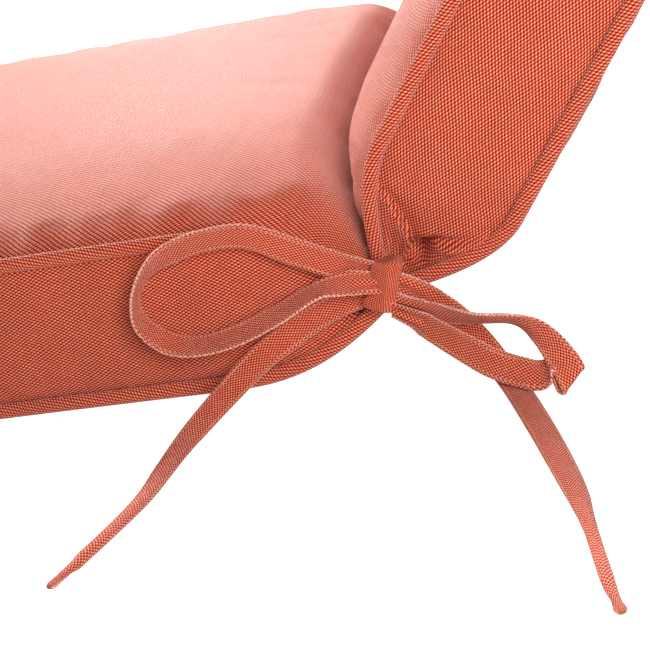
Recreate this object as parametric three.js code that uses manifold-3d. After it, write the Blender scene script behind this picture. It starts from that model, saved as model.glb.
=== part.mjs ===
// High back chair cushion: a seat section and a back section in one cover, folded at a sewn hinge, with
// piped edges and a tape bow at each end of the hinge. Millimetres, +Z up, +Y towards the back.
import * as THREE from 'three';
import { mergeVertices } from 'three/addons/utils/BufferGeometryUtils.js';
import Module from 'manifold-3d';

const wasm = await Module();
wasm.setup();

// Driving sizes
const width = 533;
const sectionLength = 559;
const hingeHeight = 51;
const foldAngle = THREE.MathUtils.degToRad(53.5);
const weltDiameter = 9;
const knotGap = 0.4;

// Heights of the seams above and below the middle surface, the crowns beyond them and how fast they build up
// from the hinge. The steep crown is the roll beside the piping and the slow one the dome across the panel.
const seat = {
  side: -1, turn: 0,
  front: {
    seam: 39, steep: 22, slow: 8, rollReach: 10, foldPush: 0.52,
    edgeReach: 95, middleReach: 68, middlePower: 1.78, weltStart: 9,
  },
  rear: {
    seam: 44, steep: 12, slow: 0, rollReach: 28, foldPush: 0,
    edgeReach: 100, edgePower: 2.3, middleReach: 60, middlePower: 2.6, weltStart: 2,
  },
};
const back = {
  side: 1, turn: foldAngle,
  front: {
    seam: 38, steep: 16.5, slow: 3.5, rollReach: 10, foldPush: 0,
    edgeReach: 64, middleReach: 52, middlePower: 1.68, weltStart: 9,
  },
  rear: {
    seam: 40.5, steep: 10, slow: 6, rollReach: 12, foldPush: 0,
    edgeReach: 62, edgePower: 1.7, middleReach: 60, middlePower: 2.4, weltStart: 2,
  },
};
const hingeHalf = 4;

// Plan of the cushion and its boxing
const cornerRadius = 34;
const sideDrawIn = 5;
const hingeDrawIn = 9;
const hingeDrawReach = 45;
const seamInset = 4;
const boxingBulge = 4.5;
const tuckDepth = 9;
const tuckReach = 30;

// Where the mesh has its rows: distances from the hinge, and distances in from the side seam.
const rowDistances = [
  0, 3, 7, 12, 18, 25, 33, 42, 52, 63, 76, 92, 120, 170, 250, 340, 425, 490, 520, 535, 545, 551, 555,
];
const rowInsets = [0, 3, 8, 15, 26, 45, 80, 135, 200, 262];
const thickSteps = 6;

const fabric = { color: 0xc8563f, roughness: 0.92, metalness: 0 };

function smooth(q) {
  const k = Math.min(Math.max(q, 0), 1);
  return k * k * (3 - 2 * k);
}

function rise(q, power) {
  return 1 - Math.pow(1 - Math.min(Math.max(q, 0), 1), power);
}

// Half width of the plan at a distance from the hinge: drawn in mid side and at the hinge.
function halfWidth(distance) {
  const q = distance / sectionLength;
  const hinge = hingeDrawIn * Math.exp(-Math.pow(distance / hingeDrawReach, 2));
  return width / 2 - seamInset - hinge - sideDrawIn * Math.pow(Math.sin(Math.PI * q), 2);
}

// Height of the seam above or below the middle surface.
function seamHeight(face, distance) {
  const built = face.edgePower
    ? rise(distance / face.edgeReach, face.edgePower) : smooth(distance / face.edgeReach);
  return hingeHalf + (face.seam - hingeHalf) * built;
}

// Share of the full crown at a distance in from the piping.
function crownShare(face, inset, span) {
  const steep = face.steep * (1 - Math.exp(-inset / face.rollReach));
  const slow = face.slow * rise(inset / span, 2);
  return (steep + slow) / (face.steep + face.slow);
}

function panelHeight(face, inset, distance) {
  const edge = seamHeight(face, distance);
  const fullness = 1 + face.foldPush * (Math.pow(1 - distance / sectionLength, 1.5) - 0.38);
  const full = face.seam + (face.steep + face.slow) * fullness;
  const middle = Math.max(hingeHalf, full * rise(distance / face.middleReach, face.middlePower));
  const share = crownShare(face, inset, width / 2) * crownShare(face, sectionLength - distance, width / 2);
  return edge + (Math.max(middle, edge) - edge) * share;
}

// Plan point of a row and a column of the mesh, with the section's two outer corners rounded.
function planPoint(row, column) {
  const length = rowDistances[rowDistances.length - 1];
  const distance = rowDistances[row];
  const half = halfWidth(distance);
  const inset = Math.min(rowInsets[column], half);
  const last = column === rowInsets.length - 1;
  const p = Math.max((cornerRadius - inset) / cornerRadius, 0);
  const r = Math.max((distance - length + cornerRadius) / cornerRadius, 0);
  let x = last ? 0 : half - inset;
  let y = distance;
  if (p > 0 && r > 0) {
    x = half - cornerRadius + cornerRadius * p * Math.sqrt(1 - r * r / 2);
    y = length - cornerRadius + cornerRadius * r * Math.sqrt(1 - p * p / 2);
  }
  let outX = 0;
  let outY = 0;
  if (p === 1) outX = Math.sqrt(1 - r * r / 2);
  if (p === 1 && r > 0) outY = r * Math.SQRT1_2;
  if (r === 1) outY = Math.sqrt(1 - p * p / 2);
  if (r === 1 && p < 1) outX = p * Math.SQRT1_2;
  return { x, distance: y, rowDistance: distance, inset, outX, outY };
}

// Folds a flat point, given by its distance from the hinge and its height off the middle surface.
function folded(section, x, distance, height) {
  const turn = distance < 0.01 ? foldAngle / 2 : section.turn;
  const along = section.side * distance;
  const y = along * Math.cos(turn) - height * Math.sin(turn);
  const z = hingeHeight + along * Math.sin(turn) + height * Math.cos(turn);
  return new THREE.Vector3(x, y, z);
}

// Solids

function cleaned(geometry) {
  geometry.deleteAttribute('normal');
  geometry.deleteAttribute('uv');
  return mergeVertices(geometry, 1e-4);
}

function movePoints(geometry, place) {
  const points = geometry.getAttribute('position');
  const point = new THREE.Vector3();
  for (let i = 0; i < points.count; i += 1) {
    const moved = place(point.fromBufferAttribute(points, i));
    points.setXYZ(i, moved.x, moved.y, moved.z);
  }
  return geometry;
}

function turnedInsideOut(geometry) {
  const index = geometry.getIndex();
  for (let i = 0; i < index.count; i += 3) {
    const second = index.getX(i + 1);
    index.setX(i + 1, index.getX(i + 2));
    index.setX(i + 2, second);
  }
  return geometry;
}

function signedVolume(geometry) {
  const points = geometry.getAttribute('position');
  const index = geometry.getIndex();
  const corners = [new THREE.Vector3(), new THREE.Vector3(), new THREE.Vector3()];
  let volume = 0;
  for (let i = 0; i < index.count; i += 3) {
    corners.forEach((corner, k) => corner.fromBufferAttribute(points, index.getX(i + k)));
    volume += corners[0].dot(corners[1].clone().cross(corners[2])) / 6;
  }
  return volume;
}

function outward(geometry) {
  return signedVolume(geometry) < 0 ? turnedInsideOut(geometry) : geometry;
}

function mirrored(geometry) {
  return turnedInsideOut(geometry.clone().scale(-1, 1, 1));
}

function toSolid(geometry) {
  const mesh = new wasm.Mesh({
    numProp: 3,
    vertProperties: Float32Array.from(geometry.getAttribute('position').array),
    triVerts: Uint32Array.from(geometry.getIndex().array),
  });
  return new wasm.Manifold(mesh);
}

function toGeometry(solid) {
  const mesh = solid.getMesh();
  const geometry = new THREE.BufferGeometry();
  geometry.setAttribute('position', new THREE.BufferAttribute(Float32Array.from(mesh.vertProperties), 3));
  geometry.setIndex(new THREE.BufferAttribute(Uint32Array.from(mesh.triVerts), 1));
  return geometry;
}

// The filled body

const halfRows = rowDistances.length - 1;
const halfColumns = rowInsets.length - 1;

function cushionPoint(corner) {
  const section = corner.y < 0 ? seat : back;
  const mirror = corner.x < 0 ? -1 : 1;
  const row = Math.round(Math.abs(corner.y) * halfRows);
  const column = halfColumns - Math.round(Math.abs(corner.x) * halfColumns);
  const plan = planPoint(row, column);
  if (row < halfRows && column > 0) {
    const face = corner.z > 0 ? section.front : section.rear;
    const height = Math.sign(corner.z) * panelHeight(face, plan.inset, plan.rowDistance);
    return folded(section, mirror * plan.x, plan.distance, height);
  }
  const up = seamHeight(section.front, plan.rowDistance);
  const down = seamHeight(section.rear, plan.rowDistance);
  const height = THREE.MathUtils.lerp(-down, up, (corner.z + 1) / 2);
  const nearHinge = Math.exp(-Math.pow(plan.rowDistance / tuckReach, 2));
  const bulge = (1 - corner.z ** 2) * (boxingBulge * (1 - nearHinge) - tuckDepth * nearHinge);
  return folded(section, mirror * (plan.x + plan.outX * bulge), plan.distance + plan.outY * bulge, height);
}

function cushionSolid() {
  const box = new THREE.BoxGeometry(2, 2, 2, 2 * halfColumns, 2 * halfRows, thickSteps);
  return toSolid(outward(movePoints(cleaned(box), cushionPoint)));
}

// The ground takes the lower panel flat.
function groundBlock() {
  const block = new THREE.BoxGeometry(2 * width, 4 * sectionLength, 100);
  block.translate(0, 0, -50);
  return toSolid(cleaned(block));
}

// Piping: one run along a section's seam, from the tie on one side round the outer end to the other tie.
const weltSides = 6;
const weltOut = 4.5;
const weltUp = 2;

function weltRows(section, face) {
  const steps = [];
  for (let row = 0; row < halfRows; row += 1) steps.push([row, 0, 1]);
  for (let column = 0; column <= halfColumns; column += 1) steps.push([halfRows, column, 1]);
  const otherWay = steps.slice(0, -1).reverse().map(([row, column]) => [row, column, -1]);
  const side = face === section.front ? 1 : -1;
  return [...steps, ...otherWay].flatMap(([row, column, mirror]) => {
    const plan = planPoint(row, column);
    if (plan.rowDistance < face.weltStart) return [];
    const x = mirror * (plan.x + plan.outX * weltOut);
    const height = side * (seamHeight(face, plan.rowDistance) + weltUp);
    return [folded(section, x, plan.distance + plan.outY * weltOut, height)];
  });
}

function tangentAt(rows, i) {
  return rows[Math.min(i + 1, rows.length - 1)].clone().sub(rows[Math.max(i - 1, 0)]).normalize();
}

function weltGeometry(rows) {
  const radius = weltDiameter / 2 - 0.05;
  const bar = new THREE.CylinderGeometry(1, 1, 1, weltSides, rows.length - 1, false);
  const first = new THREE.Vector3(0, 0, 1);
  const frames = rows.map((row, i) => {
    const tangent = tangentAt(rows, i);
    first.addScaledVector(tangent, -first.dot(tangent)).normalize();
    return { first: first.clone(), second: new THREE.Vector3().crossVectors(tangent, first) };
  });
  return outward(movePoints(cleaned(bar), (point) => {
    const i = Math.round((0.5 - point.y) * (rows.length - 1));
    const spot = rows[i].clone().addScaledVector(frames[i].first, radius * point.x);
    return spot.addScaledVector(frames[i].second, radius * point.z);
  }));
}

// Tape ties. Rows run from the knot outwards: out from the side, along to the back, up from the ground, then
// the way that the tape's width lies (wOut, wAlong, wUp), its width and its thickness where it is curled.
const tapeColumns = ['out', 'along', 'up', 'wOut', 'wAlong', 'wUp', 'wide', 'thick'];

function table(columns, rows) {
  return rows.map((row) => Object.fromEntries(columns.map((name, i) => [name, row[i]])));
}

const strands = {
  loop_front: table(tapeColumns, [
    [0, -1, 57, 0.1, 0.2, 1, 11, 1.6],
    [2, -13, 61, 0.1, 0.4, 0.9, 14, 1.4],
    [5, -27, 67, 0, 0.5, 0.9, 16, 1.4],
    [10, -48, 80, 0, 0.5, 0.85, 16, 1.4],
    [13, -71, 93, 0.2, 0.45, 0.86, 16, 1.4],
    [14, -94, 94.5, 0.4, 0.1, 0.91, 16, 1.4],
    [14, -115, 90, 0.5, 0, 0.88, 16, 1.4],
    [14, -130, 81, 0.85, 0, 0.53, 16, 1.4],
    [14, -140, 66, 0.95, 0, 0.3, 16, 1.4],
    [14, -139, 52, 0.95, -0.3, -0.1, 16, 1.4],
    [14, -128, 40, 0.87, -0.2, -0.48, 16, 1.4],
    [15, -112, 35.5, 0.9, 0.05, -0.44, 16, 1.4],
    [16, -90, 38.5, 0.8, 0.45, -0.4, 16, 1.4],
    [16, -65, 46.5, 0.78, 0.57, -0.27, 16, 1.4],
    [14.5, -40, 57, 0.9, 0.35, -0.25, 16, 1.4],
    [13, -26, 58.5, 0.75, 0.15, -0.6, 15, 1.4],
    [10, -13, 56.5, 0.5, 0.1, -0.85, 13, 1.5],
    [6, -1, 53, 0.3, 0, -0.95, 11, 1.6],
  ]),
  loop_rear: table(tapeColumns, [
    [5, -2, 44, 0.3, 0.3, 0.9, 11, 1.6],
    [9, 6, 41, 0.5, 0.4, 0.8, 12, 1.5],
    [14, 17, 38, 0.6, 0.4, 0.7, 14, 1.4],
    [20, 28, 36, 0.6, 0.4, 0.7, 16, 1.4],
    [33, 48, 36, 0.85, 0.1, 0.55, 15.5, 1.4],
    [45, 65, 37, 0.85, 0.1, 0.55, 15.5, 1.4],
    [56, 79, 33.5, 0.6, 0.5, 0.65, 14.5, 1.4],
    [64, 87, 26.5, 0.1, 0.8, 0.55, 14.5, 1.4],
    [69, 90.5, 18.5, 0, 0.9, 0.4, 16, 1.4],
    [70.5, 92, 12.5, 0, 0.75, 0.65, 16, 1.4],
    [68.5, 90, 10, 0, 0.45, 0.9, 16, 1.4],
    [65, 82, 10.5, -0.1, 0.05, 1, 16, 1.4],
    [60, 69, 11.8, -0.3, 0, 0.95, 16, 1.4],
    [50, 53.5, 15.5, -0.3, 0.3, 0.88, 16, 1.4],
    [38, 39, 21.5, -0.05, 0.55, 0.8, 15.5, 1.4],
    [25, 23, 28.5, 0.1, 0.6, 0.75, 14, 1.4],
    [16, 12.5, 33.5, 0.3, 0.6, 0.7, 12, 1.5],
    [8, -1, 39, 0.4, 0.5, 0.7, 10, 1.6],
  ]),
  tail_front: table(tapeColumns, [
    [0, -1, 47.5, 0.1, -0.1, 1, 11, 1.6],
    [-0.5, -15, 46.5, 0, -0.2, 1, 14, 1.4],
    [0.5, -28, 44.5, 0, -0.3, 0.95, 16, 1.4],
    [3, -42, 40, 0, -0.4, 0.9, 16, 1.4],
    [6, -59, 32, -0.1, -0.6, 0.8, 16, 1.4],
    [15, -77, 23.5, -0.1, -0.75, 0.65, 15.5, 1.4],
    [36, -94, 14, 0.1, -0.9, 0.4, 14.5, 1.5],
    [68, -110, 5.5, 0.3, -0.93, 0.2, 12.5, 1.8],
    [98, -117, 3, 0.3, -0.95, 0.1, 10.5, 2.2],
    [130, -122, 2.2, 0.2, -0.97, 0, 8, 2.8],
    [161, -128.5, 2.3, 0.2, -0.97, 0, 6, 3.4],
    [189, -136, 2.5, 0.25, -0.97, 0, 5, 3.8],
    [218, -147, 2.3, 0.3, -0.95, 0, 5.5, 3.6],
  ]),
  tail_rear: table(tapeColumns, [
    [5, -1, 55, 0.1, 0.3, 0.95, 11, 1.6],
    [6, 8.5, 50, 0.1, 0.5, 0.85, 13, 1.4],
    [7, 18, 42.5, 0, 0.6, 0.8, 15.5, 1.4],
    [8, 27, 34.5, 0, 0.65, 0.75, 16, 1.4],
    [10, 35, 27, 0, 0.7, 0.7, 15, 1.4],
    [15, 41.5, 20.5, -0.1, 0.8, 0.6, 14, 1.4],
    [24, 49, 12.5, -0.2, 0.9, 0.4, 14, 1.4],
    [45, 60, 3, -0.3, 0.95, 0.05, 14, 1.4],
    [77, 69.5, 1.6, -0.3, 0.95, 0, 14, 1.5],
    [116, 79.5, 1.6, -0.25, 0.96, 0, 13.5, 1.6],
    [152, 88, 1.8, -0.2, 0.97, 0, 12, 2],
    [185, 95.5, 2, -0.2, 0.97, 0, 8.5, 2.6],
    [216, 100.5, 2.3, -0.15, 0.98, 0, 5.5, 3.4],
    [250, 105.5, 2.4, -0.15, 0.98, 0, 4, 3.8],
    [272, 109, 2.3, -0.2, 0.97, 0, 4.5, 3.4],
    [293, 113.5, 2.1, -0.2, 0.97, 0, 6, 3],
  ]),
};
const strandSteps = 3;

function spline(rows, column, q) {
  const last = rows.length - 1;
  const i = Math.min(Math.floor(q), last - 1);
  const pick = (k) => rows[Math.min(Math.max(k, 0), last)][column];
  const [a, b, c, d] = [pick(i - 1), pick(i), pick(i + 1), pick(i + 2)];
  const t = q - i;
  const bend = 2 * a - 5 * b + 4 * c - d;
  const kick = 3 * b - a - 3 * c + d;
  return b + 0.5 * t * (c - a + t * (bend + t * kick));
}

function strandGeometry(rows, perRow) {
  const count = (rows.length - 1) * perRow;
  const stations = [];
  for (let i = 0; i <= count; i += 1) {
    const q = i / perRow;
    const value = (column) => spline(rows, column, q);
    stations.push({
      centre: new THREE.Vector3(width / 2 + value('out'), value('along'), value('up')),
      across: new THREE.Vector3(value('wOut'), value('wAlong'), value('wUp')),
      wide: value('wide'),
      thick: value('thick'),
    });
  }
  const centres = stations.map((station) => station.centre);
  stations.forEach((station, i) => {
    const tangent = tangentAt(centres, i);
    station.across.addScaledVector(tangent, -station.across.dot(tangent)).normalize();
    station.face = new THREE.Vector3().crossVectors(tangent, station.across);
  });
  const bar = new THREE.BoxGeometry(1, 1, 1, 1, count, 1);
  return outward(movePoints(cleaned(bar), (point) => {
    const station = stations[Math.round((point.y + 0.5) * count)];
    const spot = station.centre.clone().addScaledVector(station.across, station.wide * point.x);
    return spot.addScaledVector(station.face, station.thick * point.z);
  }));
}

// The knot: a wrapped block that leans towards the seat at its foot.
const knot = { out: 3.5, along: -3, up: 50.5, halfOut: 10.5, halfAlong: 11.5, halfUp: 15.5, lean: 5 };
const knotSquareness = 3;

function knotGeometry(grown) {
  const ball = new THREE.SphereGeometry(1, 14, 10);
  return outward(movePoints(cleaned(ball), (point) => {
    const powers = point.toArray().map((value) => Math.abs(value) ** knotSquareness);
    const unit = point.clone().divideScalar((powers[0] + powers[1] + powers[2]) ** (1 / knotSquareness));
    const x = width / 2 + knot.out + unit.x * (knot.halfOut + grown);
    const y = knot.along + knot.lean * unit.y + unit.z * (knot.halfAlong + grown);
    const z = knot.up + unit.y * (knot.halfUp + grown);
    return new THREE.Vector3(x, y, z);
  }));
}

// Assembly

const part = new THREE.Group();

function addPiece(name, geometry) {
  const material = new THREE.MeshStandardMaterial(fabric);
  const mesh = new THREE.Mesh(geometry, material);
  mesh.name = name;
  part.add(mesh);
}

const knotRoom = knotGeometry(knotGap);
const knotRooms = [knotRoom, mirrored(knotRoom)].map(toSolid);

function clearOfKnots(solid) {
  return knotRooms.reduce((rest, room) => rest.subtract(room), solid);
}

addPiece('cushion', toGeometry(clearOfKnots(cushionSolid().subtract(groundBlock()))));

const runs = [
  { name: 'welt_seat_top', section: seat, face: seat.front },
  { name: 'welt_seat_bottom', section: seat, face: seat.rear },
  { name: 'welt_back_front', section: back, face: back.front },
  { name: 'welt_back_rear', section: back, face: back.rear },
];
runs.forEach(({ name, section, face }) => {
  addPiece(name, toGeometry(clearOfKnots(toSolid(weltGeometry(weltRows(section, face))))));
});

addPiece('knot_right', knotGeometry(0));
addPiece('knot_left', mirrored(knotGeometry(0)));
Object.entries(strands).forEach(([name, rows]) => {
  const strand = toGeometry(clearOfKnots(toSolid(strandGeometry(rows, strandSteps))));
  addPiece(`${name}_right`, strand);
  addPiece(`${name}_left`, mirrored(strand));
});

// The origin lies on the ground under the middle of the whole outline.
const outline = new THREE.Box3().setFromObject(part);
part.position.y = -(outline.min.y + outline.max.y) / 2;

export default part;
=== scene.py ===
import math

import bpy
import numpy as np
from mathutils import Matrix, Vector
from numpy.linalg import norm


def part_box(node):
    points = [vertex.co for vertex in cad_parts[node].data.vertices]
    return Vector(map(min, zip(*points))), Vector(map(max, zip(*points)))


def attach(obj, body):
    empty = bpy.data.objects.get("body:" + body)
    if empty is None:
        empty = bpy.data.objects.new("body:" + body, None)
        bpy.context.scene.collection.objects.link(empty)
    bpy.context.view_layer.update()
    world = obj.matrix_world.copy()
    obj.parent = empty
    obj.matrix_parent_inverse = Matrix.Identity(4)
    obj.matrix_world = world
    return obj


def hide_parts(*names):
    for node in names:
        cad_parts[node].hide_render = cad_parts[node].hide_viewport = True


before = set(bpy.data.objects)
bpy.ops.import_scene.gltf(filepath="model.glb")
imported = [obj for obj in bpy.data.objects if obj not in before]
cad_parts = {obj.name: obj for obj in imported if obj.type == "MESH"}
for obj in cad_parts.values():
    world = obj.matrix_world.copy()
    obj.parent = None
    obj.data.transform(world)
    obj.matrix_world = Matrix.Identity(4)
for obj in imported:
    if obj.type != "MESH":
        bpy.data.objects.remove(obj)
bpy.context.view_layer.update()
mm = 0.001
knotLow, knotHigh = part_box("knot_right")
hingeBehindKnot = 3
hingeY = (knotLow.y + knotHigh.y) / 2 / mm + hingeBehindKnot      # where the two sections meet


def deselectAll():
    if bpy.context.object and bpy.context.object.mode != "OBJECT":
        bpy.ops.object.mode_set(mode="OBJECT")
    bpy.ops.object.select_all(action="DESELECT")


def pick(piece):
    deselectAll()
    piece.select_set(True)
    bpy.context.view_layer.objects.active = piece


def addObject(maker, name, **how):
    deselectAll()
    maker(**how)
    made = bpy.context.object
    made.name = made.data.name = name
    return made


def numbersOf(items, key, size, kind=float):
    flat = np.zeros(len(items) * size, kind)
    items.foreach_get(key, flat)
    return flat.reshape(-1, size) if size > 1 else flat


def pointsOf(mesh):
    return numbersOf(mesh.vertices, "co", 3)


def cornersOf(mesh):
    return numbersOf(mesh.loops, "vertex_index", 1, int)


def edgeEnds(mesh):
    return numbersOf(mesh.edges, "vertices", 2, int)


def place(piece, pointsMm):
    piece.data.vertices.foreach_set("co", (pointsMm * mm).ravel())
    piece.data.update()


def smooth(q):
    k = np.clip(q, 0, 1)
    return k * k * (3 - 2 * k)


def rise(q, power):
    return 1 - (1 - np.clip(q, 0, 1)) ** power


def bell(distance, reach):
    return np.exp(-(distance / reach) ** 2)


def softLeast(first, second, blend):
    return -blend * np.log(np.exp(-first / blend) + np.exp(-second / blend))


def unit(vectors):
    return vectors / np.maximum(norm(vectors, axis=-1, keepdims=True), 1e-9)


camera = {
    "spot": (1184.7, 153.0 + hingeY, 363.05),
    "turn": 0.20840, "down": 0.33898, "roll": 0.20693,
    "lens": 1800 / 650 * 36,      # 1800 px for a picture of 650 px, on a sensor of 36 mm
    "nearest": 0.05, "farthest": 50,
}


def addCamera():
    turn, down, roll = camera["turn"], camera["down"], camera["roll"]
    ahead = Vector((-math.cos(turn) * math.cos(down), -math.sin(turn) * math.cos(down), -math.sin(down)))
    right = ahead.cross(Vector((0, 0, 1))).normalized()
    up = right.cross(ahead)
    rolledRight = math.cos(roll) * right - math.sin(roll) * up
    rolledUp = math.sin(roll) * right + math.cos(roll) * up
    turned = Matrix((rolledRight, rolledUp, -ahead)).transposed()
    spot = Vector(camera["spot"]) * mm
    made = addObject(bpy.ops.object.camera_add, "camera", location=spot, rotation=turned.to_euler())
    made.data.lens = camera["lens"]
    made.data.clip_start, made.data.clip_end = camera["nearest"], camera["farthest"]
    bpy.context.scene.camera = made


addCamera()
print("camera set")

# sizes of the pieces are in millimetres
cushionSizes = {
    "width": 533, "sectionLength": 559, "hingeHeight": 51, "foldAngle": math.radians(53.5), "hingeHalf": 4,
    "cornerRadius": 34, "sideDrawIn": 5, "hingeDrawIn": 9, "hingeDrawReach": 45, "seamInset": 1.5,
    "boxingBulge": 4.5, "tuckDepth": 9, "tuckReach": 30,
    "foldGap": 4, "foldOpening": 2.1, "foldBlend": 5,      # the panels press on each other in the fold
    "shoulderStart": 40, "shoulderSlope": 70, "shoulderRise": 30, "shoulderLeast": 0.4, "shoulderBlend": 1.5,
    "fillReach": 60,
    "rowDistances": [
        0, 2.5, 5, 8, 11, 14.5, 18, 22, 26, 30.5, 35, 40, 45, 51, 57, 64, 72, 80, 89, *range(98, 479, 10),
        487, 496, 504, 512, 519, 526, 532, 538, 543, 547, 550, 552.5, 555,
    ],
    "rowInsets": [0, 2, 4.5, 7.5, 11, 15, 19.5, 24.5, 30, 36, 43, *range(51, 241, 9), 250, 262],
    "levels": 20,
}
rowCount, columnCount = len(cushionSizes["rowDistances"]) - 1, len(cushionSizes["rowInsets"]) - 1
levelCount = cushionSizes["levels"]
seat = {
    "side": -1, "turn": 0,
    "front": {"seam": 39, "steep": 15, "rollReach": 10, "slow": 27.5, "slowReach": 47, "foldFill": 0.1,
              "foldShoulder": 37, "edgeReach": 95, "middleReach": 52, "middlePower": 2, "weltStart": 9},
    "rear": {"seam": 44, "steep": 12, "rollReach": 28, "slow": 0, "slowReach": 90, "foldFill": 0,
             "foldShoulder": 30, "edgeReach": 100, "edgePower": 2.3, "middleReach": 60, "middlePower": 2.6,
             "weltStart": 2},
}
back = {
    "side": 1, "turn": cushionSizes["foldAngle"],
    "front": {"seam": 38, "steep": 4, "rollReach": 5, "slow": 20, "slowReach": 32, "foldFill": 0,
              "foldShoulder": 38, "edgeReach": 68, "edgePower": 1.8, "middleReach": 52, "middlePower": 1.68,
              "weltStart": 3},
    "rear": {"seam": 40.5, "steep": 10, "rollReach": 12, "slow": 6, "slowReach": 90, "foldFill": 0,
             "foldShoulder": 34, "edgeReach": 62, "edgePower": 1.7, "middleReach": 60, "middlePower": 2.4,
             "weltStart": 2},
}


def halfWidth(distance):
    s = cushionSizes
    hinge = s["hingeDrawIn"] * bell(distance, s["hingeDrawReach"])
    middle = s["sideDrawIn"] * np.sin(np.pi * distance / s["sectionLength"]) ** 2
    return s["width"] / 2 - s["seamInset"] - hinge - middle


def seamHeight(face, distance):
    q = distance / face["edgeReach"]
    built = rise(q, face["edgePower"]) if "edgePower" in face else smooth(q)
    return cushionSizes["hingeHalf"] + (face["seam"] - cushionSizes["hingeHalf"]) * built


# a crown rises steeply from the seam, then slowly to the middle
def panelHeight(face, inset, distance):
    s = cushionSizes
    edge = seamHeight(face, distance)
    full = face["seam"] + face["steep"] + face["slow"]
    middle = np.maximum(s["hingeHalf"], full * rise(distance / face["middleReach"], face["middlePower"]))
    middle = softLeast(middle, s["hingeHalf"] + s["foldGap"] + s["foldOpening"] * distance, s["foldBlend"])
    room = np.maximum(middle, edge) - edge
    climb = smooth((distance - s["shoulderStart"]) / s["shoulderSlope"])
    shoulder = face["foldShoulder"] + (face["seam"] + face["steep"] - face["foldShoulder"]) * climb
    shoulder = shoulder * rise(distance / s["shoulderRise"], 2) - edge
    shoulder = np.maximum(shoulder, s["shoulderLeast"] * face["steep"])
    steep = np.maximum(softLeast(room, shoulder, s["shoulderBlend"]), 0)
    toEnd = s["sectionLength"] - distance
    steepShare, slowShare = ((1 - np.exp(-inset / reach)) * (1 - np.exp(-toEnd / reach))
                             for reach in (face["rollReach"], face["slowReach"]))
    slowShare = slowShare ** (1 - face["foldFill"] * bell(distance, s["fillReach"]))
    return edge + steep * steepShare + (room - steep) * slowShare


# plan x and distance of a point, and the way outwards on the outline
def planPoints(distance, inset):
    s = cushionSizes
    length, radius = s["rowDistances"][-1], s["cornerRadius"]
    half = halfWidth(distance)
    inset = np.minimum(inset, half)
    p = np.maximum((radius - inset) / radius, 0)
    r = np.maximum((distance - length + radius) / radius, 0)
    corner = (p > 0) & (r > 0)
    x = np.where(corner, half - radius + radius * p * np.sqrt(1 - r * r / 2), half - inset)
    y = np.where(corner, length - radius + radius * r * np.sqrt(1 - p * p / 2), distance)
    x = np.where(inset >= half - 0.01, 0, x)
    outX = np.where(p >= 1, np.sqrt(1 - r * r / 2), 0.0)
    outY = np.where((p >= 1) & (r > 0), r * math.sqrt(0.5), 0.0)
    outY = np.where(r >= 1, np.sqrt(1 - p * p / 2), outY)
    outX = np.where((r >= 1) & (p < 1), p * math.sqrt(0.5), outX)
    return x, y, inset, outX, outY


def folded(section, x, distance, height):
    middle = np.abs(distance) < 0.01
    turn = np.where(middle, cushionSizes["foldAngle"] / 2, section["turn"])
    along = section["side"] * distance
    y = along * np.cos(turn) - height * np.sin(turn) + hingeY
    z = cushionSizes["hingeHeight"] + along * np.sin(turn) + height * np.cos(turn)
    return np.stack([x, y, z], axis=-1)


# rows and columns are signed steps from the middle, levels go up from 0 at the rear
def cushionPoints(rows, columns, levels):
    s = cushionSizes
    row, column = np.abs(rows), columnCount - np.abs(columns)
    distance = np.array(s["rowDistances"], float)[row]
    inset = np.array(s["rowInsets"], float)[column]
    x, y, inset, outX, outY = planPoints(distance, inset)
    mirror = np.where(columns < 0, -1, 1)
    z = levels / levelCount * 2 - 1
    rim = (row == rowCount) | (column == 0)
    spots = np.zeros((len(rows), 3))
    for section, chosen in ((seat, rows < 0), (back, rows >= 0)):
        front, rear = section["front"], section["rear"]
        up, down = seamHeight(front, distance), seamHeight(rear, distance)
        panel = np.where(z > 0, panelHeight(front, inset, distance), -panelHeight(rear, inset, distance))
        height = np.where(rim, -down + (up + down) * (z + 1) / 2, panel)
        hinge = bell(distance, s["tuckReach"])
        bulge = ((1 - z ** 6) * s["boxingBulge"] * (1 - hinge) - (1 - z ** 2) * s["tuckDepth"] * hinge) * rim
        made = folded(section, mirror * (x + outX * bulge), y + outY * bulge, height)
        spots[chosen] = made[chosen]
    spots[:, 2] = np.maximum(spots[:, 2], 0)
    return spots


def subdivideAlong(piece, axis, cuts):
    bpy.ops.object.mode_set(mode="OBJECT")
    mesh = piece.data
    points, ends = pointsOf(mesh), edgeEnds(mesh)
    along = np.abs(points[ends[:, 0], axis] - points[ends[:, 1], axis]) > 1e-6
    bpy.context.tool_settings.mesh_select_mode = (False, True, False)
    mesh.vertices.foreach_set("select", np.zeros(len(mesh.vertices), bool))
    mesh.polygons.foreach_set("select", np.zeros(len(mesh.polygons), bool))
    mesh.edges.foreach_set("select", along)
    bpy.ops.object.mode_set(mode="EDIT")
    bpy.ops.mesh.subdivide(number_cuts=cuts)
    bpy.ops.object.mode_set(mode="OBJECT")


# running length along one axis of a grid of points, zero at the given index
def gridArc(points, axis, start):
    steps = norm(np.diff(points, axis=axis), axis=-1)
    pad = [(0, 0), (0, 0)]
    pad[axis] = (1, 0)
    run = np.cumsum(np.pad(steps, pad), axis=axis)
    return run - np.take(run, [start], axis=axis)


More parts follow.
